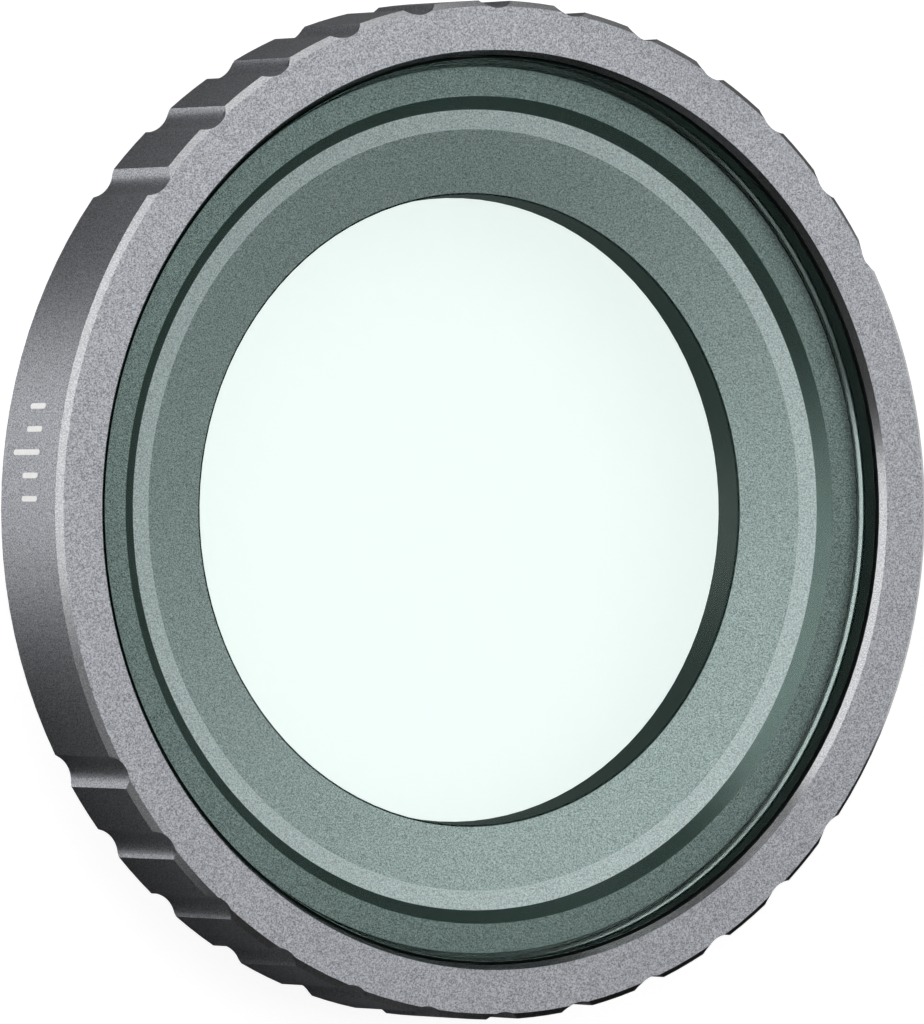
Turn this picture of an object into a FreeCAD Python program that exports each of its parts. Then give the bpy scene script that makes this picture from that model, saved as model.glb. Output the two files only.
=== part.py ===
import FreeCAD, Part
import Sketcher
import os

# A screw-in UV lens filter, in millimetres.
# Z is the optical axis. The filter lies on the end of its rear thread spigot, front face up, so
# the origin is the centre of that end. The two groups of grip flutes are centred on +Y and -Y.

SIZES = {
    # Radial sizes of the frame, added up outwards from the clear opening
    "aperture_radius": 9.62,    # clear opening, at its front edge
    "aperture_taper": 0.09,     # how much the opening narrows towards the rear
    "flange_width": 1.98,       # dished flange around the opening
    "band_width": 0.60,         # shallow bevel between the flange and the step
    "step_width": 0.41,         # conical step below the glass ledge
    "ledge_width": 1.23,        # flat ledge that carries the glass
    "rim_width": 1.66,          # wall from the glass recess to the grip surface
    # Heights of the frame
    "grip_height": 3.54,        # fluted grip, from the rear shoulder to the front face
    "step_drop": 0.27,
    "band_drop": 0.10,
    "flange_drop": 0.35,        # dish of the flange
    "lip_height": 1.00,         # wall of the clear opening
    "edge_chamfer": 0.18,       # front outer edge of the grip
    "rear_chamfer": 0.08,       # rear outer edge of the grip
    "mouth_width": 0.15,        # steep bevel at the inner edge of the front face
    "mouth_drop": 0.22,
    # Grip flutes
    "flute_count": 12,          # flutes in each of the two groups
    "flute_pitch": 10,          # degrees from one flute to the next
    "flute_depth": 0.24,
    "flute_cutter_radius": 0.80,
    # Rear thread spigot: its solid is the core of a thread with 27 mm outer diameter, 0.75 mm pitch
    "thread_radius": 13.50,     # over the crests
    "thread_depth": 0.46,       # from crest to core
    "spigot_length": 2.80,
    "spigot_wall": 1.04,
    "spigot_lead": 0.30,        # lead-in chamfer of the thread
    "spigot_edge": 0.15,        # chamfer of the spigot's inner edge
    # Glass and the bond that holds it
    "glass_thickness": 1.13,
    "glass_inset": 0.27,        # glass lies this far below the front face
    "glass_clearance": 0.04,    # around the edge of the glass
    "glass_front_bevel": 0.07,
    "glass_rear_bevel": 0.06,
    "bond_gap": 0.03,           # between the glass and the ledge
    "bond_land": 0.10,          # flat of the ledge outside the bond's groove
    "bond_flank": 0.11,         # sloped outer side of the groove
    "bond_groove_width": 0.135,  # floor of the groove that the bond lies on
    "bond_groove_depth": 0.20,
    # Seal ring behind the shoulder
    "seal_width": 1.20,
    "seal_height": 0.80,
    "seal_chamfer": 0.20,       # outer edges of the seal
    "seal_groove_depth": 0.50,  # below the thread core
    "seal_groove_room": 0.15,   # groove height beyond the seal's
    "seal_clearance": 0.02,     # between the seal and its groove
}

# Radii, as expressions of the sheet's cells
APERTURE = "sizes.aperture_radius"
FLANGE_EDGE = f"{APERTURE} + sizes.flange_width"
BAND_EDGE = f"{FLANGE_EDGE} + sizes.band_width"
STEP_EDGE = f"{BAND_EDGE} + sizes.step_width"
RECESS = f"{STEP_EDGE} + sizes.ledge_width"
GRIP = f"{RECESS} + sizes.rim_width"
GLASS = f"{RECESS} - sizes.glass_clearance"
LAND_EDGE = f"{RECESS} - sizes.bond_land"
BOND_OUTER = f"{LAND_EDGE} - sizes.bond_flank"
BOND_INNER = f"{BOND_OUTER} - sizes.bond_groove_width"
THREAD_CORE = "sizes.thread_radius - sizes.thread_depth"
SPIGOT_BORE = f"{THREAD_CORE} - sizes.spigot_wall"
SEAL_FLOOR = f"{THREAD_CORE} - sizes.seal_groove_depth"

# Heights, as expressions of the sheet's cells
SHOULDER = "sizes.spigot_length"
FRONT = f"{SHOULDER} + sizes.grip_height"
GLASS_FRONT = f"{FRONT} - sizes.glass_inset"
GLASS_REAR = f"{GLASS_FRONT} - sizes.glass_thickness"
LEDGE = f"{GLASS_REAR} - sizes.bond_gap"
BOND_FLOOR = f"{LEDGE} - sizes.bond_groove_depth"
FLANK_FOOT = f"{LEDGE} - sizes.bond_flank"
STEP_FOOT = f"{LEDGE} - sizes.step_drop"
BAND_FOOT = f"{STEP_FOOT} - sizes.band_drop"
LIP_FRONT = f"{BAND_FOOT} - sizes.flange_drop"
LIP_REAR = f"{LIP_FRONT} - sizes.lip_height"
SEAL_GROOVE = f"{SHOULDER} - sizes.seal_height - sizes.seal_groove_room"

# How a sketch numbers the points of its geometry, and its own axes and origin
START, END, CENTRE = range(1, 4)
X_AXIS_LINE, Y_AXIS_LINE = range(-1, -3, -1)
ROOT_POINT = (X_AXIS_LINE, START)
ON_AXIS = "0"


def make_sheet(doc):
    """Spreadsheet with one named cell for each driving dimension."""
    sheet = doc.addObject("Spreadsheet::Sheet", "sizes")
    for row, (name, value) in enumerate(SIZES.items(), start=1):
        sheet.set(f"A{row}", name)
        sheet.set(f"B{row}", str(value))
        sheet.setAlias(f"B{row}", name)
    doc.recompute()
    return sheet


def origin_feature(body, role):
    """Plane or axis of the body's own origin."""
    return next(item for item in body.Origin.OriginFeatures if item.Role == role)


def add_sketch(body, name, plane):
    """Empty sketch on one of the body's origin planes."""
    sketch = body.newObject("Sketcher::SketchObject", name)
    sketch.AttachmentSupport = [(origin_feature(body, plane), "")]
    sketch.MapMode = "FlatFace"
    return sketch


def place_point(sketch, geometry, end, name, across, along):
    """Tie a point of the sketch to two expressions, measured from the origin."""
    place = ((across, "DistanceX", Y_AXIS_LINE, "x"), (along, "DistanceY", X_AXIS_LINE, "y"))
    for expression, kind, axis_line, suffix in place:
        if expression == ON_AXIS:
            sketch.addConstraint(Sketcher.Constraint("PointOnObject", geometry, end, axis_line))
            continue
        index = sketch.addConstraint(Sketcher.Constraint(kind, *ROOT_POINT, geometry, end, 1.0))
        sketch.renameConstraint(index, f"{name}_{suffix}")
        sketch.setExpression(f"Constraints.{name}_{suffix}", expression)


def turned_body(doc, label, corners):
    """Body turned about Z from a closed outline of named corners, each a radius and a height."""
    body = doc.addObject("PartDesign::Body", label)
    sketch = add_sketch(body, f"{label}_section", "XZ_Plane")
    count = len(corners)
    for index in range(count):
        start = FreeCAD.Vector(1 + index, 1 + index * index, 0)
        end = FreeCAD.Vector(2 + index, 1 + (index + 1) ** 2, 0)
        sketch.addGeometry(Part.LineSegment(start, end), False)
    for index, (name, radius, height) in enumerate(corners):
        before = (index - 1) % count
        sketch.addConstraint(Sketcher.Constraint("Coincident", before, END, index, START))
        place_point(sketch, index, START, name, radius, height)
    turn = body.newObject("PartDesign::Revolution", f"{label}_turned")
    turn.Profile = sketch
    turn.ReferenceAxis = (sketch, ["V_Axis"])
    turn.Angle = 360
    body.Tip = turn
    doc.recompute()
    return body


def make_frame(doc):
    """Turned frame: clear opening, glass seat, grip ring and rear thread spigot, in one piece."""
    return turned_body(doc, "filter_frame", [
        ("lip_rear", f"{APERTURE} - sizes.aperture_taper", LIP_REAR),
        ("bore_top", SPIGOT_BORE, LIP_REAR),
        ("bore_foot", SPIGOT_BORE, "sizes.spigot_edge"),
        ("end_inner", f"{SPIGOT_BORE} + sizes.spigot_edge", ON_AXIS),
        ("end_outer", f"{THREAD_CORE} - sizes.spigot_lead", ON_AXIS),
        ("thread_start", THREAD_CORE, "sizes.spigot_lead"),
        ("thread_stop", THREAD_CORE, SEAL_GROOVE),
        ("groove_foot", SEAL_FLOOR, SEAL_GROOVE),
        ("groove_top", SEAL_FLOOR, SHOULDER),
        ("shoulder", f"{GRIP} - sizes.rear_chamfer", SHOULDER),
        ("grip_rear", GRIP, f"{SHOULDER} + sizes.rear_chamfer"),
        ("grip_front", GRIP, f"{FRONT} - sizes.edge_chamfer"),
        ("face_outer", f"{GRIP} - sizes.edge_chamfer", FRONT),
        ("face_inner", f"{RECESS} + sizes.mouth_width", FRONT),
        ("mouth_foot", RECESS, f"{FRONT} - sizes.mouth_drop"),
        ("recess_foot", RECESS, LEDGE),
        ("land_edge", LAND_EDGE, LEDGE),
        ("flank_foot", BOND_OUTER, FLANK_FOOT),
        ("bond_foot_outer", BOND_OUTER, BOND_FLOOR),
        ("bond_foot_inner", BOND_INNER, BOND_FLOOR),
        ("ledge_outer", BOND_INNER, LEDGE),
        ("ledge_inner", STEP_EDGE, LEDGE),
        ("step_foot", BAND_EDGE, STEP_FOOT),
        ("band_foot", FLANGE_EDGE, BAND_FOOT),
        ("lip_front", APERTURE, LIP_FRONT),
    ])


def cut_flutes(doc, body):
    """Mill the two opposite groups of flutes along the whole grip surface."""
    sketch = add_sketch(body, "flute_section", "XY_Plane")
    cutter_path = f"({GRIP} - sizes.flute_depth + sizes.flute_cutter_radius)"
    first_turn = "(90 - sizes.flute_pitch * (sizes.flute_count - 1) / 2) * 1 deg"
    for index, (name, side) in enumerate((("upper", 1), ("lower", -1))):
        centre = FreeCAD.Vector(side, side, 0)
        sketch.addGeometry(Part.Circle(centre, FreeCAD.Vector(0, 0, 1), 1), False)
        place_point(
            sketch, index, CENTRE, f"flute_{name}",
            f"{side} * {cutter_path} * cos({first_turn})",
            f"{side} * {cutter_path} * sin({first_turn})",
        )
        radius = sketch.addConstraint(Sketcher.Constraint("Radius", index, 1.0))
        sketch.renameConstraint(radius, f"cutter_{name}")
        sketch.setExpression(f"Constraints.cutter_{name}", "sizes.flute_cutter_radius")
    doc.recompute()
    turned_volume = body.Shape.Volume

    flutes = body.newObject("PartDesign::Pocket", "flute_pair")
    flutes.Profile = sketch
    flutes.Type = "ThroughAll"
    flutes.Midplane = True
    body.Tip = flutes
    doc.recompute()
    if not body.Shape.Volume < turned_volume:
        raise RuntimeError("the first pair of flutes cut nothing")

    pattern = body.newObject("PartDesign::PolarPattern", "flute_groups")
    pattern.Originals = [flutes]
    pattern.Axis = (origin_feature(body, "Z_Axis"), [""])
    pattern.setExpression("Angle", "sizes.flute_pitch * (sizes.flute_count - 1)")
    pattern.setExpression("Occurrences", "sizes.flute_count")
    body.Tip = pattern
    doc.recompute()


def make_glass(doc):
    """Glass disc with a fine bevel around each face."""
    return turned_body(doc, "uv_glass", [
        ("rear_centre", ON_AXIS, GLASS_REAR),
        ("rear_edge", f"{GLASS} - sizes.glass_rear_bevel", GLASS_REAR),
        ("side_rear", GLASS, f"{GLASS_REAR} + sizes.glass_rear_bevel"),
        ("side_front", GLASS, f"{GLASS_FRONT} - sizes.glass_front_bevel"),
        ("front_edge", f"{GLASS} - sizes.glass_front_bevel", GLASS_FRONT),
        ("front_centre", ON_AXIS, GLASS_FRONT),
    ])


def make_bond(doc):
    """Ring of bonding compound in its groove of the ledge, drawn up to the glass on the inner side."""
    film = "sizes.bond_gap / 2"
    inner = f"{BOND_INNER} + {film}"
    outer = f"{BOND_OUTER} - {film}"
    top = f"{GLASS_REAR} - {film}"
    return turned_body(doc, "glass_bond", [
        ("foot_inner", inner, BOND_FLOOR),
        ("foot_outer", outer, BOND_FLOOR),
        ("side_outer", outer, FLANK_FOOT),
        ("crest", inner, top),
    ])


def make_seal(doc):
    """Rubber seal ring in the groove behind the shoulder, with chamfered outer edges."""
    inner = f"{SEAL_FLOOR} + sizes.seal_clearance"
    outer = f"{inner} + sizes.seal_width"
    top = f"{SHOULDER} - sizes.seal_clearance"
    foot = f"{top} - sizes.seal_height"
    return turned_body(doc, "seal_ring", [
        ("inner_foot", inner, foot),
        ("outer_foot", f"{outer} - sizes.seal_chamfer", foot),
        ("lip_foot", outer, f"{foot} + sizes.seal_chamfer"),
        ("lip_top", outer, f"{top} - sizes.seal_chamfer"),
        ("outer_top", f"{outer} - sizes.seal_chamfer", top),
        ("inner_top", inner, top),
    ])


def check_document(doc, parts):
    """Stop if an object failed to build or a sub-part isn't a sound solid."""
    for item in doc.Objects:
        if "Invalid" in item.State or "Error" in item.State:
            raise RuntimeError(f"{item.Label} failed to build: {item.State}")
    for part in parts:
        shape = part.Shape
        if shape.isNull() or not shape.isValid() or not shape.Solids:
            raise RuntimeError(f"{part.Label} isn't a sound solid")


def main():
    doc = FreeCAD.newDocument("uv_lens_filter")
    make_sheet(doc)
    frame = make_frame(doc)
    cut_flutes(doc, frame)
    parts = [frame, make_glass(doc), make_bond(doc), make_seal(doc)]
    doc.recompute()
    check_document(doc, parts)
    os.makedirs("parts", exist_ok=True)
    for part in parts:
        part.Shape.exportStep(f"parts/{part.Label}.step")
        print(part.Label, "volume", round(part.Shape.Volume, 3), "solids", len(part.Shape.Solids))


main()
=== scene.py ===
"""Finishes, thread ridge, index mark and studio stage of a round UV lens filter."""
import math

import bmesh
import bpy
from mathutils import Matrix, Vector


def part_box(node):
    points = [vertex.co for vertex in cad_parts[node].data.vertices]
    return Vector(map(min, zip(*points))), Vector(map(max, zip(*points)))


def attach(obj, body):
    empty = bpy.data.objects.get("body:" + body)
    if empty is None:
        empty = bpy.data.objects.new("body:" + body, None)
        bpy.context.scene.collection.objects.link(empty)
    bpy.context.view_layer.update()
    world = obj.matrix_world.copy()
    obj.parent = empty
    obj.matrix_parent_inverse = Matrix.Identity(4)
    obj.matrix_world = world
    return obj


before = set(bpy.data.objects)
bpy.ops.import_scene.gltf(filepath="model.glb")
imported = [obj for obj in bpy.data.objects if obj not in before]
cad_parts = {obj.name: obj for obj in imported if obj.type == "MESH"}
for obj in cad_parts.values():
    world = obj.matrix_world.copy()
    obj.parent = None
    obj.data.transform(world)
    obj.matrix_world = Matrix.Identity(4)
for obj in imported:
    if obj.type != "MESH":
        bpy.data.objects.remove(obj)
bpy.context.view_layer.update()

bl_info = {
    "name": "UV Lens Filter",
    "version": (1, 0, 0),
    "blender": (4, 5, 0),
    "location": "3D View > Sidebar > Filter",
    "description": "Dresses the turned frame, glass and seals of a lens filter",
    "category": "Object",
}

MM = 0.001
FRONT_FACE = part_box("filter_frame")[1].z
GRIP_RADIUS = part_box("filter_frame")[1].x
GLASS_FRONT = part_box("uv_glass")[1].z
GLASS_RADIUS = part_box("uv_glass")[1].x
BLACKENED_RIM = 0.065 * MM  # width of the blackened rim on the glass
CLEAR_FACE = 0.004 * MM  # the front face is clear down to this depth
SHOULDER = 2.80 * MM  # rear face of the grip
THREAD_CORE = 13.04 * MM
PICTURE_TURN = math.radians(4.5)  # the frame is turned this far from the picture's upright
SHARP_EDGE = math.radians(35)  # faces that meet at more than this keep a crisp edge
NOISE_LOW, NOISE_HIGH = 0.3, 0.7  # a noise texture's values hardly ever leave this range


def linear(hex_colour):
    """Linear red, green, blue of an sRGB hex colour."""
    shares = [int(hex_colour[i:i + 2], 16) / 255 for i in (1, 3, 5)]
    return tuple(
        s / 12.92 if s <= 0.04045 else ((s + 0.055) / 1.055) ** 2.4 for s in shares
    )


def add_node(tree, kind, inputs=None, **settings):
    """Adds a node. Each input is given a value, or the socket that feeds it."""
    made = tree.nodes.new(kind)
    for name, value in settings.items():
        setattr(made, name, value)
    for key, value in (inputs or {}).items():
        if isinstance(value, bpy.types.NodeSocket):
            tree.links.new(value, made.inputs[key])
        else:
            made.inputs[key].default_value = value
    return made


def new_material(name):
    """An empty node material and the tree to fill."""
    material = bpy.data.materials.new(name)
    material.use_nodes = True
    material.node_tree.nodes.clear()
    return material, material.node_tree


def wear(piece, material):
    """Gives a piece this one material."""
    piece.data.materials.clear()
    piece.data.materials.append(material)


def from_bmesh(mesh, name, material):
    """Makes an object of a bmesh, in this one material."""
    data = bpy.data.meshes.new(name)
    mesh.to_mesh(data)
    mesh.free()
    piece = bpy.data.objects.new(name, data)
    bpy.context.scene.collection.objects.link(piece)
    wear(piece, material)
    return piece


def filter_piece(mesh, name, material):
    """A piece of the filter, smooth but for its edges, riding on the one body."""
    bmesh.ops.recalc_face_normals(mesh, faces=mesh.faces)
    piece = from_bmesh(mesh, name, material)
    piece.data.shade_smooth()
    piece.data.set_sharp_from_angle(angle=SHARP_EDGE)
    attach(piece, "root")
    return piece


class FrameFinish(bpy.types.PropertyGroup):
    """Finish of the aluminium frame."""

    outside: bpy.props.FloatVectorProperty(
        name="Outside", description="Grey of the blasted outside", subtype="COLOR",
        default=linear("#A4A6AB"), min=0, max=1)
    # Painted shade: a darker grey for the recess and the hollow, where shade falls.
    inside: bpy.props.FloatVectorProperty(
        name="Inside", description="Darker grey of the recess and ledge", subtype="COLOR",
        default=linear("#747A79"), min=0, max=1)
    flange: bpy.props.FloatVectorProperty(
        name="Flange", description="Grey of the dished flange", subtype="COLOR",
        default=linear("#ADAFB1"), min=0, max=1)
    ledge: bpy.props.FloatVectorProperty(
        name="Ledge", description="Grey of the flat ledge below the glass", subtype="COLOR",
        default=linear("#929798"), min=0, max=1)
    # Painted shade: the step gets a darker grey than the metal has, on top of the dark recess its
    # smooth finish really mirrors.
    step: bpy.props.FloatVectorProperty(
        name="Step", description="Dark grey of the smooth conical step", subtype="COLOR",
        default=linear("#5C6261"), min=0, max=1)
    bevel: bpy.props.FloatVectorProperty(
        name="Bevel", description="Grey of the bevels cut after blasting", subtype="COLOR",
        default=linear("#98999B"), min=0, max=1)
    band: bpy.props.FloatVectorProperty(
        name="Band", description="Light matt band round the flange", subtype="COLOR",
        default=linear("#EBE8ED"), min=0, max=1)
    edge: bpy.props.FloatVectorProperty(
        name="Edge", description="Black of the sharp edge round the clear opening", subtype="COLOR",
        default=linear("#1A1D1C"), min=0, max=1)
    opening: bpy.props.FloatVectorProperty(
        name="Opening", description="Dark wall of the clear opening", subtype="COLOR",
        default=linear("#424645"), min=0, max=1)
    grit: bpy.props.FloatProperty(
        name="Grit", description="Width of one blasted dimple", unit="LENGTH",
        default=0.065 * MM, min=0.02 * MM, max=0.5 * MM, precision=6)
    roughness: bpy.props.FloatProperty(
        name="Roughness", description="Roughness of the blasted metal", subtype="FACTOR",
        default=0.42, min=0, max=1)


class GlassFinish(bpy.types.PropertyGroup):
    """Finish of the glass, its bond and the seal."""

    tint: bpy.props.FloatVectorProperty(
        name="Tint", description="Colour of light that passes the glass", subtype="COLOR",
        default=linear("#F4FFFB"), min=0, max=1)
    coating: bpy.props.FloatVectorProperty(
        name="Coating", description="Colour of what the coated glass still mirrors",
        subtype="COLOR", default=linear("#355D55"), min=0, max=1)
    paint: bpy.props.FloatVectorProperty(
        name="Edge Paint", description="Colour of the glass's blackened edge", subtype="COLOR",
        default=linear("#0E1513"), min=0, max=1)
    bond: bpy.props.FloatVectorProperty(
        name="Bond", description="Colour of the cured bond bead", subtype="COLOR",
        default=linear("#131615"), min=0, max=1)
    seal: bpy.props.FloatVectorProperty(
        name="Seal", description="Colour of the rubber seal", subtype="COLOR",
        default=linear("#1C1C1D"), min=0, max=1)


class ThreadSizes(bpy.types.PropertyGroup):
    """Ridge of the rear thread."""

    pitch: bpy.props.FloatProperty(
        name="Pitch", description="Rise of the ridge in one turn", unit="LENGTH",
        default=0.75 * MM, min=0.3 * MM, max=1.5 * MM, precision=6)
    depth: bpy.props.FloatProperty(
        name="Depth", description="Height of the crest above the core", unit="LENGTH",
        default=0.46 * MM, min=0.1 * MM, max=0.9 * MM, precision=6)
    start: bpy.props.FloatProperty(
        name="Start", description="Height of the ridge's first crest", unit="LENGTH",
        default=0.50 * MM, min=0, max=2 * MM, precision=6)
    turns: bpy.props.FloatProperty(
        name="Turns", description="Number of turns of the ridge",
        default=1.55, min=0.5, max=4)


class MarkSizes(bpy.types.PropertyGroup):
    """Printed index mark on the grip."""

    colour: bpy.props.FloatVectorProperty(
        name="Colour", description="Colour of the printed ink", subtype="COLOR",
        default=linear("#FFFFFD"), min=0, max=1)
    angle: bpy.props.FloatProperty(
        name="Angle", description="Place of the mark round the grip", subtype="ANGLE",
        default=math.radians(178.1))
    height: bpy.props.FloatProperty(
        name="Height", description="Height of the upper end of the lines", unit="LENGTH",
        default=5.05 * MM, min=SHOULDER, max=FRONT_FACE, precision=6)
    long_line: bpy.props.FloatProperty(
        name="Long Line", description="Length of the middle line", unit="LENGTH",
        default=1.55 * MM, min=0.3 * MM, max=2 * MM, precision=6)
    short_line: bpy.props.FloatProperty(
        name="Short Line", description="Length of the lines beside it", unit="LENGTH",
        default=0.90 * MM, min=0.3 * MM, max=2 * MM, precision=6)
    spacing: bpy.props.FloatProperty(
        name="Spacing", description="Distance from line to line", unit="LENGTH",
        default=0.70 * MM, min=0.3 * MM, max=2 * MM, precision=6)
    width: bpy.props.FloatProperty(
        name="Width", description="Width of one line", unit="LENGTH",
        default=0.17 * MM, min=0.05 * MM, max=0.5 * MM, precision=6)
    thickness: bpy.props.FloatProperty(
        name="Thickness", description="Thickness of the ink", unit="LENGTH",
        default=0.012 * MM, min=0.005 * MM, max=0.05 * MM, precision=6)


class StageSettings(bpy.types.PropertyGroup):
    """Camera, lights and floor."""

    tilt: bpy.props.FloatProperty(
        name="Tilt", description="Angle of the view from the filter's axis", subtype="ANGLE",
        default=math.radians(31.32))
    distance: bpy.props.FloatProperty(
        name="Distance", description="Camera to the front face", unit="LENGTH",
        default=0.4256, min=0.05)
    lens: bpy.props.FloatProperty(
        name="Lens", description="Focal length of the camera", unit="CAMERA",
        default=492.2, min=10)
    shift_right: bpy.props.FloatProperty(
        name="Shift Right", description="How far the filter sits right of the centre",
        unit="LENGTH", default=1.195 * MM, precision=6)
    shift_up: bpy.props.FloatProperty(
        name="Shift Up", description="How far the filter sits above the centre",
        unit="LENGTH", default=0.064 * MM, precision=6)
    fill: bpy.props.FloatProperty(
        name="Fill", description="Strength of the even light from all sides",
        default=0.05, min=0)
    key: bpy.props.FloatProperty(
        name="Key", description="Brightness of the left softbox, 1 is white",
        default=2.0, min=0)
    back: bpy.props.FloatProperty(
        name="Back", description="Brightness of the low softbox behind, 1 is white",
        default=2.3, min=0)
    front: bpy.props.FloatProperty(
        name="Front", description="Brightness of the narrow softbox in front, 1 is white",
        default=0.6, min=0)
    overhead: bpy.props.FloatProperty(
        name="Overhead", description="Brightness of the upper softbox, 1 is white",
        default=1.62, min=0)
    table: bpy.props.FloatProperty(
        name="Table", description="Brightness of the light below the translucent floor, 1 is white",
        default=1.4, min=0)
    floor: bpy.props.FloatVectorProperty(
        name="Floor", description="Colour of the floor", subtype="COLOR",
        default=linear("#A0A0A0"), min=0, max=1)


def turned_place(tree):
    """Sockets of the place on a turned piece: the point, its radius and its height."""
    place = add_node(tree, "ShaderNodeTexCoord").outputs["Object"]
    across = add_node(tree, "ShaderNodeVectorMath", {0: place, 1: (1, 1, 0)}, operation="MULTIPLY")
    radius = add_node(tree, "ShaderNodeVectorMath", {0: across.outputs[0]}, operation="LENGTH")
    height = add_node(tree, "ShaderNodeSeparateXYZ", {0: place})
    return place, radius.outputs["Value"], height.outputs["Z"]


def blasted_aluminium(look):
    """Aluminium turned, bead-blasted and anodised grey."""
    # Blasting leaves fine round dimples, so the metal has a soft sheen with a grain in it.
    # The recess and the hollow are painted a darker grey, which stands in for their shade, and the
    # band is cut after blasting, which leaves it lighter.
    # Bevels are cut last of all, so they are bright and show less of the grain.
    material, tree = new_material("blasted_anodised_aluminium")
    place, radius, height = turned_place(tree)

    # Each zone has its radii and heights in millimetres, its colour, its roughness and its share
    # of the grain. It lies over the zones before it.
    zones = (
        # grip and flutes
        ((15.00, 15.60), (2.80, 6.165), look.outside, look.roughness, 0.8),
        # recess of the glass and all that lies below it, then the hollow of the spigot; their
        # darker grey is painted shade
        ((0, 13.85), (2.80, 6.115), look.inside, look.roughness, 0.55),
        ((0, 12.05), (0, 3.30), look.inside, look.roughness, 0.55),
        # wall of the clear opening, the flange round it, and the sharp edge between them
        ((0, 9.63), (3.15, 4.18), look.opening, 0.45, 0.4),
        ((9.62, 11.60), (4.10, 4.56), look.flange, 0.48, 0.75),
        ((9.60, 9.67), (4.15, 4.25), look.edge, 0.55, 0.2),
        # band, ledge and the conical step between them
        ((11.60, 12.20), (4.50, 4.66), look.band, 0.58, 0.5),
        ((12.61, 13.50), (4.89, 4.93), look.ledge, 0.55, 0.9),
        # the step's darker grey is painted shade; its smooth finish also mirrors the dark recess
        ((12.20, 12.61), (4.60, 4.92), look.step, 0.29, 0.3),
        # bevels: flank of the bond's groove, mouth of the recess, front edge of the grip
        ((13.63, 13.742), (4.79, 4.912), look.bevel, 0.25, 0.1),
        ((13.80, 13.985), (6.115, 6.40), look.bevel, 0.22, 0.3),
        ((15.325, 15.60), (6.165, 6.40), look.bevel, 0.30, 0.45),
    )
    # What no zone covers is the front face and the spigot, in the grey of the outside.
    dye, sheen, share = (*look.outside, 1), look.roughness, 0.75
    for radii, heights, colour, roughness, blasted in zones:
        masks = []
        for value, (low, high) in ((radius, radii), (height, heights)):
            masks.append(add_node(
                tree, "ShaderNodeMath",
                {0: value, 1: (low + high) / 2 * MM, 2: (high - low) / 2 * MM},
                operation="COMPARE"))
        mask = add_node(
            tree, "ShaderNodeMath", {0: masks[0].outputs[0], 1: masks[1].outputs[0]},
            operation="MULTIPLY").outputs[0]
        dye = add_node(
            tree, "ShaderNodeMix", {"Factor": mask, 6: dye, 7: (*colour, 1)},
            data_type="RGBA").outputs[2]
        sheen = add_node(
            tree, "ShaderNodeMix", {"Factor": mask, 2: sheen, 3: roughness}).outputs[0]
        share = add_node(
            tree, "ShaderNodeMix", {"Factor": mask, 2: share, 3: blasted}).outputs[0]

    # Dimples are drawn coarser than real ones, as coarse as they need to be to show.
    cells = 1.4  # cells of the noise across one dimple
    relief = 0.25  # strength of the bump where all of the grain shows
    dimple_depth = look.grit * 0.2
    grain = add_node(
        tree, "ShaderNodeTexNoise",
        {"Vector": place, "Scale": cells / look.grit, "Detail": 1.0, "Roughness": 0.8})
    mottle = add_node(
        tree, "ShaderNodeMapRange",
        {"Value": grain.outputs["Fac"], "From Min": NOISE_LOW, "From Max": NOISE_HIGH,
         "To Min": 0.30, "To Max": 1.70})
    colour = add_node(
        tree, "ShaderNodeMix",
        {"Factor": share, 6: dye, 7: mottle.outputs[0]}, data_type="RGBA", blend_type="MULTIPLY")
    strength = add_node(tree, "ShaderNodeMath", {0: share, 1: relief}, operation="MULTIPLY")
    bump = add_node(
        tree, "ShaderNodeBump",
        {"Strength": strength.outputs[0], "Distance": dimple_depth,
         "Height": grain.outputs["Fac"]})
    shader = add_node(
        tree, "ShaderNodeBsdfPrincipled",
        {"Base Color": colour.outputs[2], "Metallic": 1.0, "Roughness": sheen,
         "Normal": bump.outputs[0]})
    add_node(tree, "ShaderNodeOutputMaterial", {"Surface": shader.outputs[0]})
    return material


def polished_glass(look):
    """Optical glass, ground round and polished, coated on both sides, with a blackened edge."""
    # It is nearly clear, with a mint tint that deepens where light passes it twice.
    # The coating takes away most of the mirror image that bare glass would show.
    # The ground edge and its bevels are painted, so a clean black ring frames the glass.
    material, tree = new_material("polished_coated_glass")
    _, radius, height = turned_place(tree)
    paint_roughness = 0.5
    outside = add_node(
        tree, "ShaderNodeMath", {0: radius, 1: GLASS_RADIUS - BLACKENED_RIM},
        operation="GREATER_THAN").outputs[0]
    below = add_node(
        tree, "ShaderNodeMath", {0: height, 1: GLASS_FRONT - CLEAR_FACE},
        operation="LESS_THAN").outputs[0]
    painted = add_node(
        tree, "ShaderNodeMath", {0: outside, 1: below}, operation="MULTIPLY").outputs[0]
    colour = add_node(
        tree, "ShaderNodeMix", {"Factor": painted, 6: (*look.tint, 1), 7: (*look.paint, 1)},
        data_type="RGBA").outputs[2]
    clear = add_node(
        tree, "ShaderNodeMath", {0: 1.0, 1: painted}, operation="SUBTRACT").outputs[0]
    rough = add_node(
        tree, "ShaderNodeMath", {0: paint_roughness, 1: painted}, operation="MULTIPLY").outputs[0]
    shader = add_node(
        tree, "ShaderNodeBsdfPrincipled",
        {"Base Color": colour, "Roughness": rough, "IOR": 1.50, "Transmission Weight": clear,
         "Specular Tint": (*look.coating, 1)})
    add_node(tree, "ShaderNodeOutputMaterial", {"Surface": shader.outputs[0]})
    return material


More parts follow.
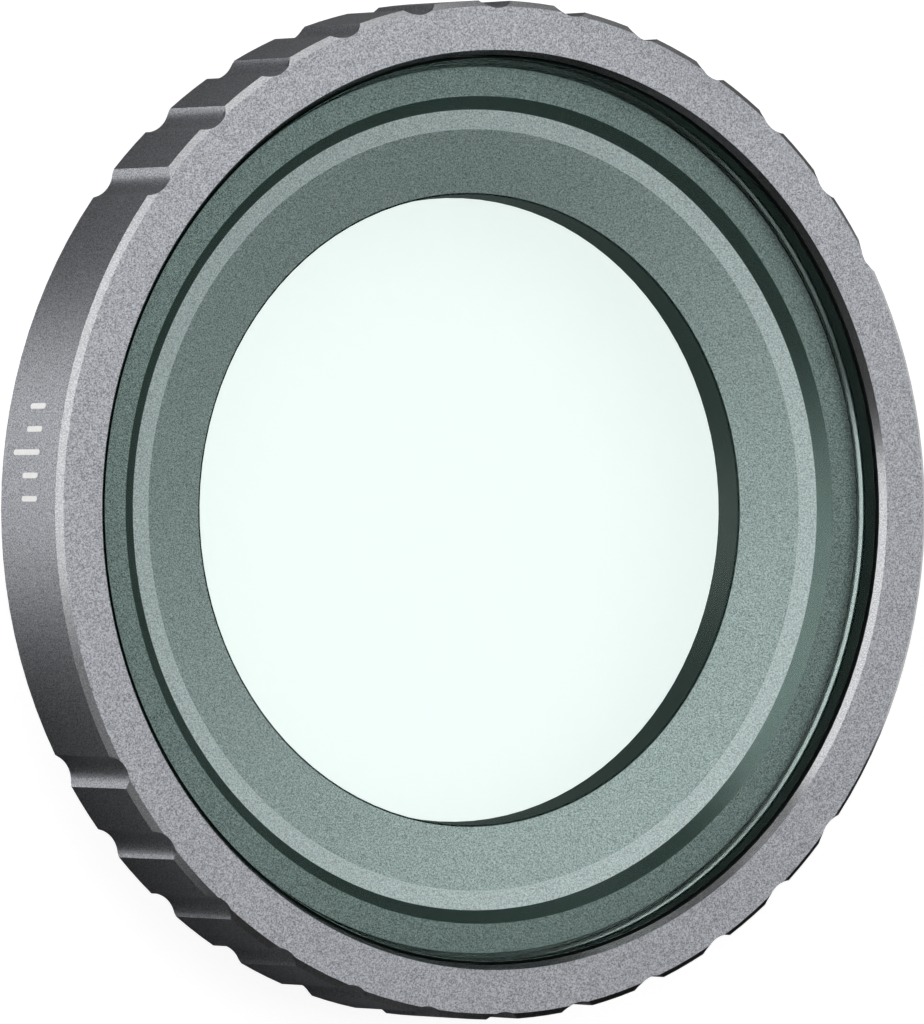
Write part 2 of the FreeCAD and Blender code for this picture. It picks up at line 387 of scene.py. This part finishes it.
def rubbery(name, colour, roughness, grain_size):
    """A black compound, cast or moulded."""
    # Its skin is finely uneven, which breaks up the gloss and varies the black a little.
    material, tree = new_material(name)
    place = add_node(tree, "ShaderNodeTexCoord").outputs["Object"]
    skin = add_node(
        tree, "ShaderNodeTexNoise", {"Vector": place, "Scale": 1 / grain_size, "Detail": 3.0})
    shade = add_node(
        tree, "ShaderNodeMapRange",
        {"Value": skin.outputs["Fac"], "To Min": 0.75, "To Max": 1.25})
    tone = add_node(
        tree, "ShaderNodeMix",
        {"Factor": 1.0, 6: (*colour, 1), 7: shade.outputs[0]}, data_type="RGBA",
        blend_type="MULTIPLY")
    bump = add_node(
        tree, "ShaderNodeBump",
        {"Strength": 0.2, "Distance": grain_size * 0.2, "Height": skin.outputs["Fac"]})
    shader = add_node(
        tree, "ShaderNodeBsdfPrincipled",
        {"Base Color": tone.outputs[2], "Roughness": roughness, "IOR": 1.52,
         "Normal": bump.outputs[0]})
    add_node(tree, "ShaderNodeOutputMaterial", {"Surface": shader.outputs[0]})
    return material


def printed_ink(look):
    """White two-part ink, pad-printed."""
    # The film is thin and matt, and the blasted grain below it shows faintly.
    material, tree = new_material("pad_printed_ink")
    place = add_node(tree, "ShaderNodeTexCoord").outputs["Object"]
    fleck = 0.09 * MM  # width of one thin spot in the film
    grain = add_node(
        tree, "ShaderNodeTexNoise", {"Vector": place, "Scale": 1 / fleck, "Detail": 2.0})
    cover = add_node(
        tree, "ShaderNodeMapRange",
        {"Value": grain.outputs["Fac"], "From Min": NOISE_LOW, "From Max": NOISE_HIGH,
         "To Min": 0.93, "To Max": 1.0})
    tone = add_node(
        tree, "ShaderNodeMix",
        {"Factor": 1.0, 6: (*look.colour, 1), 7: cover.outputs[0]}, data_type="RGBA",
        blend_type="MULTIPLY")
    shader = add_node(
        tree, "ShaderNodeBsdfPrincipled",
        {"Base Color": tone.outputs[2], "Roughness": 0.55, "IOR": 1.5})
    add_node(tree, "ShaderNodeOutputMaterial", {"Surface": shader.outputs[0]})
    return material


def on_grip(angle, radius, height):
    """A point on a circle round the filter's axis."""
    return Vector((radius * math.cos(angle), radius * math.sin(angle), height))


class FILTER_OT_frame(bpy.types.Operator):
    """Finish the aluminium frame"""

    bl_idname = "lens_filter.frame"
    bl_label = "Finish Frame"

    def execute(self, context):
        wear(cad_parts["filter_frame"], blasted_aluminium(context.scene.filter_frame))
        return {"FINISHED"}


class FILTER_OT_glass(bpy.types.Operator):
    """Finish the glass, its bond and the seal"""

    bl_idname = "lens_filter.glass"
    bl_label = "Finish Glass and Seals"

    def execute(self, context):
        look = context.scene.filter_glass
        wear(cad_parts["uv_glass"], polished_glass(look))
        # Cured bond is smooth and glossy; moulded rubber has a satin skin.
        bond = rubbery("cured_bond", look.bond, roughness=0.22, grain_size=0.4 * MM)
        seal = rubbery("moulded_rubber", look.seal, roughness=0.6, grain_size=0.15 * MM)
        wear(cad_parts["glass_bond"], bond)
        wear(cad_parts["seal_ring"], seal)
        return {"FINISHED"}


class FILTER_OT_thread(bpy.types.Operator):
    """Wind the ridge of the rear thread on its core"""

    bl_idname = "lens_filter.thread"
    bl_label = "Wind Thread"

    def execute(self, context):
        sizes = context.scene.filter_thread
        steps = 128  # sections in one turn
        run_out = 0.18  # turns over which each end fades into the core
        least = 0.02  # share of the depth that is left at the very ends
        slope = math.radians(30)  # lean of each flank
        flank = sizes.depth * math.tan(slope)
        crest = 0.045 * MM  # half the width of the crest
        sunk = 0.03 * MM  # the ridge stands this deep in the core
        skirt = 0.02 * MM  # its foot is wider by this much on each side
        root = THREAD_CORE - sunk
        rings = []
        mesh = bmesh.new()
        count = round(sizes.turns * steps)
        for i in range(count + 1):
            turn = i / steps
            grown = min(1.0, turn / run_out, (sizes.turns - turn) / run_out)
            rise = max(least, grown)
            angle = 2 * math.pi * turn
            height = sizes.start + sizes.pitch * turn
            top = THREAD_CORE + sizes.depth * rise
            reach = flank * rise + crest
            section = (
                (root, -reach - skirt), (top, -crest), (top, crest), (root, reach + skirt))
            rings.append([mesh.verts.new(on_grip(angle, r, height + z)) for r, z in section])
        for one, two in zip(rings, rings[1:]):
            for k in range(len(one)):
                n = (k + 1) % len(one)
                mesh.faces.new((one[k], one[n], two[n], two[k]))
        mesh.faces.new(rings[0])
        mesh.faces.new(reversed(rings[-1]))
        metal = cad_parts["filter_frame"].active_material
        filter_piece(mesh, "thread_ridge", metal)
        return {"FINISHED"}


class FILTER_OT_mark(bpy.types.Operator):
    """Print the index mark on the grip"""

    bl_idname = "lens_filter.mark"
    bl_label = "Print Index Mark"

    def execute(self, context):
        sizes = context.scene.filter_mark
        mesh = bmesh.new()
        beside = 2  # lines on each side of the middle one
        corner_steps = 8
        sunk = 0.01 * MM  # the ink reaches this deep into the metal
        half = sizes.width / 2
        for line in range(-beside, beside + 1):
            length = sizes.short_line if line else sizes.long_line
            outline = []
            for end, centre in ((0, sizes.height - half), (math.pi, sizes.height - length + half)):
                for i in range(corner_steps + 1):
                    a = end + math.pi * i / corner_steps
                    outline.append(
                        (line * sizes.spacing + half * math.cos(a), centre + half * math.sin(a)))
            rims = []
            for radius in (GRIP_RADIUS - sunk, GRIP_RADIUS + sizes.thickness):
                rims.append([
                    mesh.verts.new(on_grip(sizes.angle + x / GRIP_RADIUS, radius, z))
                    for x, z in outline])
            low, high = rims
            mesh.faces.new(low)
            mesh.faces.new(high)
            for k in range(len(outline)):
                n = (k + 1) % len(outline)
                mesh.faces.new((low[k], low[n], high[n], high[k]))
        filter_piece(mesh, "index_mark", printed_ink(sizes))
        return {"FINISHED"}


def in_picture(azimuth, elevation, distance):
    """A point round the filter, by its angle in the picture, its elevation and its distance."""
    a, e = math.radians(azimuth) + PICTURE_TURN, math.radians(elevation)
    return Vector((
        distance * math.cos(e) * math.cos(a),
        distance * math.cos(e) * math.sin(a),
        distance * math.sin(e)))


def softbox(name, place, facing, width, height, brightness):
    """A rectangular softbox, turned as given; brightness 1 looks white."""
    lamp = bpy.data.lights.new(name, "AREA")
    lamp.shape = "RECTANGLE"
    lamp.size, lamp.size_y = width, height
    lamp.energy = math.pi * width * height * brightness
    holder = bpy.data.objects.new(name, lamp)
    holder.location = place
    holder.rotation_euler = facing
    holder.visible_camera = False
    bpy.context.scene.collection.objects.link(holder)
    return holder


def aimed_softbox(name, place, width, height, brightness):
    """A softbox turned towards the filter."""
    facing = (-place).to_track_quat("-Z", "Y").to_euler()
    return softbox(name, place, facing, width, height, brightness)


def sweep_material(look):
    """Paper sweep, matt and white."""
    # The camera, metal and glass see plain white paper, and the filter's shadow falls on it.
    material, tree = new_material("white_paper_sweep")
    glow = 0.86  # the lamps give the rest of the white
    path = add_node(tree, "ShaderNodeLightPath")
    seen = add_node(
        tree, "ShaderNodeMath",
        {0: path.outputs["Is Camera Ray"], 1: path.outputs["Is Glossy Ray"]}, operation="MAXIMUM")
    seen = add_node(
        tree, "ShaderNodeMath",
        {0: seen.outputs[0], 1: path.outputs["Is Transmission Ray"]}, operation="MAXIMUM")
    strength = add_node(
        tree, "ShaderNodeMath", {0: seen.outputs[0], 1: glow}, operation="MULTIPLY")
    paper = add_node(tree, "ShaderNodeBsdfDiffuse", {"Color": (*look.floor, 1)})
    white = add_node(
        tree, "ShaderNodeEmission", {"Color": (1, 1, 1, 1), "Strength": strength.outputs[0]})
    both = add_node(tree, "ShaderNodeAddShader", {0: paper.outputs[0], 1: white.outputs[0]})
    add_node(tree, "ShaderNodeOutputMaterial", {"Surface": both.outputs[0]})
    return material


def card(name, azimuths, edges, shade, glow):
    """A card that shows only in reflections, curved round the filter between two edges."""
    material, tree = new_material(name + "_paper")
    paint = add_node(
        tree, "ShaderNodeBsdfPrincipled",
        {"Base Color": (shade, shade, shade, 1), "Roughness": 1.0, "Specular IOR Level": 0.0,
         "Emission Color": (1, 1, 1, 1), "Emission Strength": glow})
    add_node(tree, "ShaderNodeOutputMaterial", {"Surface": paint.outputs[0]})
    material.cycles.emission_sampling = "NONE"
    mesh = bmesh.new()
    steps = 32
    start, end = azimuths
    rows = []
    for i in range(steps + 1):
        a = math.radians(start + (end - start) * i / steps) + PICTURE_TURN
        rows.append([mesh.verts.new(on_grip(a, radius, height)) for radius, height in edges])
    for one, two in zip(rows, rows[1:]):
        mesh.faces.new((one[0], one[1], two[1], two[0]))
    piece = from_bmesh(mesh, name, material)
    piece.visible_camera = False
    piece.visible_diffuse = False
    piece.visible_transmission = False
    piece.visible_shadow = False


class FILTER_OT_stage(bpy.types.Operator):
    """Set the camera, lights and floor"""

    bl_idname = "lens_filter.stage"
    bl_label = "Set Stage"

    def execute(self, context):
        look = context.scene.filter_stage
        scene = context.scene
        scene.view_settings.view_transform = "Standard"

        flat, curl = 3.0, 0.3  # the sweep is flat up to this radius, then curls up this high
        arcs, turns = 12, 64  # facets up the curl and round the sweep
        hub = 0.1 * MM  # radius of the facet in the middle
        profile = [(hub, 0.0)]
        for i in range(arcs + 1):
            a = math.pi / 2 * i / arcs
            profile.append((flat + curl * math.sin(a), curl - curl * math.cos(a)))
        mesh = bmesh.new()
        rings = []
        for i in range(turns):
            a = 2 * math.pi * i / turns
            rings.append([mesh.verts.new(on_grip(a, r, z)) for r, z in profile])
        for i, one in enumerate(rings):
            two = rings[(i + 1) % turns]
            for k in range(len(profile) - 1):
                mesh.faces.new((one[k], one[k + 1], two[k + 1], two[k]))
        mesh.faces.new([ring[0] for ring in rings])
        floor = from_bmesh(mesh, "paper_sweep", sweep_material(look))
        floor.data.shade_smooth()
        floor.visible_shadow = False  # the paper lets the light below it through

        world = bpy.data.worlds.new("even_fill")
        world.use_nodes = True
        background = world.node_tree.nodes["Background"]
        background.inputs["Color"].default_value = (1, 1, 1, 1)
        background.inputs["Strength"].default_value = look.fill
        scene.world = world

        # Softboxes aimed at the filter: angle in the picture, elevation and distance, then width,
        # height and brightness. The last one shines up through the floor, as on a light table,
        # and gives the wall and the flutes their light strips.
        softboxes = {
            "key_softbox": (156.5, 33, 0.40, 0.56, 0.46, look.key),
            "back_softbox": (93, 16, 0.40, 0.31, 0.14, look.back),
            "front_softbox": (231, 25, 0.40, 0.34, 0.09, look.front),
            "table_softbox": (170, -58.5, 0.30, 0.156, 0.17, look.table),
        }
        lamps = {}
        for name, (azimuth, elevation, distance, width, height, brightness) in softboxes.items():
            place = in_picture(azimuth, elevation, distance)
            lamps[name] = aimed_softbox(name, place, width, height, brightness)
        lamps["table_softbox"].data.cycles.use_multiple_importance_sampling = False

        # The upper softbox hangs level, a little behind and to the right.
        turn = Matrix.Rotation(PICTURE_TURN, 3, "Z")
        above = turn @ Vector((0.19, 0.11, 0.42))
        level = (0, 0, PICTURE_TURN)
        softbox("overhead_softbox", above, level, 0.52, 0.34, look.overhead)

        # Dark cards keep the white floor and horizon out of the metal. Each has its angles in the
        # picture, the radius and height in millimetres of its two edges, its shade and its glow.
        cards = {
            "near_card": ((170, 340), (13.6, 0.1), (28, 0.1), 0.02, 0),
            "lower_card": ((285, 340), (28, 0.1), (80, 0.1), 0.02, 0),
            "upper_card": ((24, 170), (13.6, 0.1), (28, 0.1), 0.12, 0),
            "far_card": ((24, 100), (28, 0.1), (80, 0.1), 0.35, 0),
            "well_card": ((0, 360), (0.1, 0.1), (13.6, 0.1), 0.02, 0.16),
            "dark_flag": ((-115, 40), (80, 0), (80, 45), 0.02, 0),
            "raised_flag": ((40, 70), (80, 9), (80, 45), 0.02, 0),
            "back_flag": ((84, 116), (80, 0), (80, 15), 0.02, 0),
            "front_flag": ((200, 245), (80, 0), (80, 18), 0.02, 0),
            "rim_flag": ((48, 86), (19, 7.2), (19, 12.5), 0.02, 0),
        }
        for name, (angles, first, second, shade, glow) in cards.items():
            edges = [(radius * MM, height * MM) for radius, height in (first, second)]
            card(name, angles, edges, shade, glow)

        right = turn @ Vector((math.cos(look.tilt), 0, math.sin(look.tilt)))
        up = turn @ Vector((0, 1, 0))
        back = turn @ Vector((-math.sin(look.tilt), 0, math.cos(look.tilt)))
        lens = bpy.data.cameras.new("camera")
        lens.sensor_width = 36
        lens.lens = look.lens
        lens.clip_start, lens.clip_end = 0.01, 20
        camera = bpy.data.objects.new("camera", lens)
        axes = Matrix((right, up, back)).transposed().to_4x4()
        centre = Vector((0, 0, FRONT_FACE))
        place = centre - right * look.shift_right - up * look.shift_up + back * look.distance
        camera.matrix_world = Matrix.Translation(place) @ axes
        scene.collection.objects.link(camera)
        scene.camera = camera
        return {"FINISHED"}


STEPS = (FILTER_OT_frame, FILTER_OT_glass, FILTER_OT_thread, FILTER_OT_mark, FILTER_OT_stage)
SETTINGS = {
    "filter_frame": FrameFinish,
    "filter_glass": GlassFinish,
    "filter_thread": ThreadSizes,
    "filter_mark": MarkSizes,
    "filter_stage": StageSettings,
}


class FILTER_PT_steps(bpy.types.Panel):
    """The steps that dress the filter, with their settings"""

    bl_label = "Lens Filter"
    bl_space_type = "VIEW_3D"
    bl_region_type = "UI"
    bl_category = "Filter"

    def draw(self, context):
        for step, (name, group) in zip(STEPS, SETTINGS.items()):
            box = self.layout.box()
            for prop in group.__annotations__:
                box.prop(getattr(context.scene, name), prop)
            box.operator(step.bl_idname)


CLASSES = (*SETTINGS.values(), *STEPS, FILTER_PT_steps)


def register():
    for cls in CLASSES:
        bpy.utils.register_class(cls)
    for name, group in SETTINGS.items():
        setattr(bpy.types.Scene, name, bpy.props.PointerProperty(type=group))


def unregister():
    for name in SETTINGS:
        delattr(bpy.types.Scene, name)
    for cls in reversed(CLASSES):
        bpy.utils.unregister_class(cls)


def main():
    register()
    bpy.ops.lens_filter.frame()
    bpy.ops.lens_filter.glass()
    bpy.ops.lens_filter.thread()
    bpy.ops.lens_filter.mark()
    bpy.ops.lens_filter.stage()


if __name__ == "__main__":
    main()
